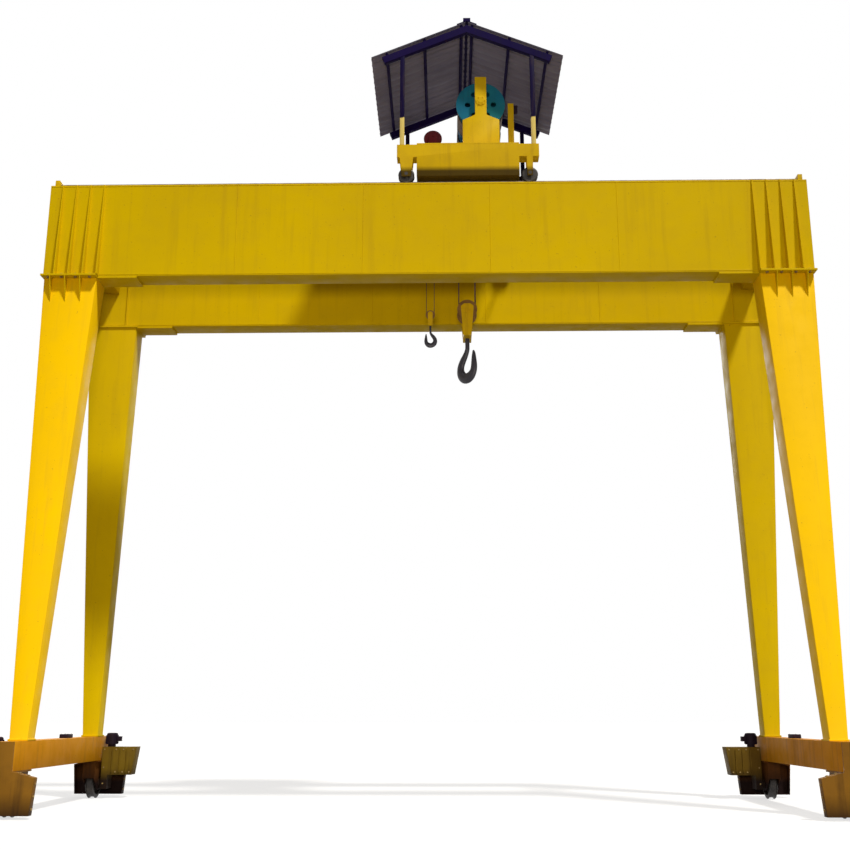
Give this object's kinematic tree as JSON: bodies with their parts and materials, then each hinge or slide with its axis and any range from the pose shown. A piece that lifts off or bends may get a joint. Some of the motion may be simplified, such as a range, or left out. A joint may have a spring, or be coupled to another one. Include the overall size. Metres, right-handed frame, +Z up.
{
  "type": "double-girder gantry crane",
  "caption": "Yellow gantry crane: box girders on splayed tapered legs with wheel trucks, and a roofed winch trolley with a main and an auxiliary hook.",
  "frame": {"origin": "middle of the crane on the plane its travel wheels stand on", "axes": "+X along the girders, -Y to the front, +Z up"},
  "size_m": [15.78, 5.25, 15.7369],
  "materials": {
    "girder_paint": "satin mustard-yellow paint with grime",
    "leg_paint": "satin chrome-yellow paint",
    "truck_paint": "dull ochre paint, oily and dusty",
    "motor_paint": "near-black machine paint",
    "wheel_steel": "dark forged steel, polished at the tread",
    "rail_steel": "rolled steel, bright along the head",
    "stop_paint": "yellow paint",
    "trolley_paint": "satin yellow paint",
    "gearbox_paint": "ochre machine paint",
    "drum_paint": "blue machine paint, worn on the barrel",
    "aux_paint": "dark red oxide paint",
    "hood_sheet": "dark grey profiled sheet",
    "hood_steel": "dark navy paint",
    "rope_steel": "greased wire rope",
    "sheave_steel": "dark cast steel",
    "hook_steel": "forged black hook"
  },
  "bodies": {
    "crane": {"front_girder_webs": "girder_paint", "front_girder_flanges": "girder_paint", "front_girder_ribs": "girder_paint", "rear_girder_webs": "girder_paint", "rear_girder_flanges": "girder_paint", "rear_girder_ribs": "girder_paint", "end_ties": "girder_paint", "leg_heads": "girder_paint", "front_left_leg": "leg_paint", "front_right_leg": "leg_paint", "rear_left_leg": "leg_paint", "rear_right_leg": "leg_paint", "left_sill_beam": "leg_paint", "right_sill_beam": "leg_paint", "front_left_truck": "truck_paint", "front_right_truck": "truck_paint", "rear_left_truck": "truck_paint", "rear_right_truck": "truck_paint", "travel_gearboxes": "truck_paint", "travel_motors": "motor_paint", "trolley_rails": "rail_steel", "rail_stops": "stop_paint"},
    "trolley": {"trolley_front_beam": "trolley_paint", "trolley_rear_beam": "trolley_paint", "trolley_deck": "trolley_paint", "trolley_cross_beams": "trolley_paint", "hood_posts": "trolley_paint", "drum_stands": "trolley_paint", "limit_post": "trolley_paint", "trolley_drive": "motor_paint", "hoist_motor": "motor_paint", "hoist_gearbox": "gearbox_paint", "aux_stands": "aux_paint", "hood_left_sheet": "hood_sheet", "hood_right_sheet": "hood_sheet", "hood_frame": "hood_steel", "hood_ridge_cap": "hood_steel", "main_ropes": "rope_steel", "aux_ropes": "rope_steel"},
    "main_block": {"main_block": "trolley_paint", "main_sheaves": "sheave_steel"},
    "main_hook": {"main_hook": "hook_steel"},
    "aux_block": {"aux_block": "trolley_paint", "aux_sheave": "sheave_steel"},
    "aux_hook": {"aux_hook": "hook_steel"},
    "main_drum": {"main_drum": "drum_paint"},
    "aux_drum": {"aux_drum": "aux_paint"},
    "left_wheelset": {"left_wheelset": "wheel_steel"},
    "right_wheelset": {"right_wheelset": "wheel_steel"},
    "front_left_wheel": {"front_left_wheel": "wheel_steel"},
    "front_right_wheel": {"front_right_wheel": "wheel_steel"},
    "rear_left_wheel": {"rear_left_wheel": "wheel_steel"},
    "rear_right_wheel": {"rear_right_wheel": "wheel_steel"}
  },
  "joints": [
    {"name": "trolley_travel", "type": "slide", "parent": "crane", "child": "trolley", "axis": [1, 0, 0], "range_m": [-6.75, 5.09]},
    {"name": "main_hoist", "type": "slide", "parent": "trolley", "child": "main_block", "axis": [0, 0, 1], "range_m": [-7.9, 1.6], "deforming": ["main_ropes"]},
    {"name": "main_hook_swivel", "type": "hinge", "parent": "main_block", "child": "main_hook", "pos_m": [0.815, 0, 9.29], "axis": [0, 0, 1], "continuous": true},
    {"name": "aux_hoist", "type": "slide", "parent": "trolley", "child": "aux_block", "axis": [0, 0, 1], "range_m": [-8.6, 1.8], "deforming": ["aux_ropes"]},
    {"name": "aux_hook_swivel", "type": "hinge", "parent": "aux_block", "child": "aux_hook", "pos_m": [0.055, -0.35, 9.42], "axis": [0, 0, 1], "continuous": true},
    {"name": "main_drum_spin", "type": "hinge", "parent": "trolley", "child": "main_drum", "pos_m": [1.115, 0, 14.08], "axis": [0, 1, 0], "continuous": true},
    {"name": "aux_drum_spin", "type": "hinge", "parent": "trolley", "child": "aux_drum", "pos_m": [0.115, -0.35, 13.43], "axis": [0, 1, 0], "continuous": true},
    {"name": "left_wheelset_spin", "type": "hinge", "parent": "trolley", "child": "left_wheelset", "pos_m": [-0.41, 0, 12.2103], "axis": [0, 1, 0], "continuous": true},
    {"name": "right_wheelset_spin", "type": "hinge", "parent": "trolley", "child": "right_wheelset", "pos_m": [2.07, 0, 12.2103], "axis": [0, 1, 0], "continuous": true},
    {"name": "front_left_wheel_spin", "type": "hinge", "parent": "crane", "child": "front_left_wheel", "pos_m": [-7, -2.15, 0.3], "axis": [1, 0, 0], "continuous": true},
    {"name": "front_right_wheel_spin", "type": "hinge", "parent": "crane", "child": "front_right_wheel", "pos_m": [7, -2.15, 0.3], "axis": [1, 0, 0], "continuous": true},
    {"name": "rear_left_wheel_spin", "type": "hinge", "parent": "crane", "child": "rear_left_wheel", "pos_m": [-7, 2.15, 0.3], "axis": [1, 0, 0], "continuous": true},
    {"name": "rear_right_wheel_spin", "type": "hinge", "parent": "crane", "child": "rear_right_wheel", "pos_m": [7, 2.15, 0.3], "axis": [1, 0, 0], "continuous": true}
  ],
  "couplings": [
    {"joint": "main_drum_spin", "follows": "main_hoist", "rad_per_m": 4.2553},
    {"joint": "aux_drum_spin", "follows": "aux_hoist", "rad_per_m": 14.286},
    {"joint": "left_wheelset_spin", "follows": "trolley_travel", "rad_per_m": 7.1429},
    {"joint": "right_wheelset_spin", "follows": "trolley_travel", "rad_per_m": 7.1429}
  ]
}
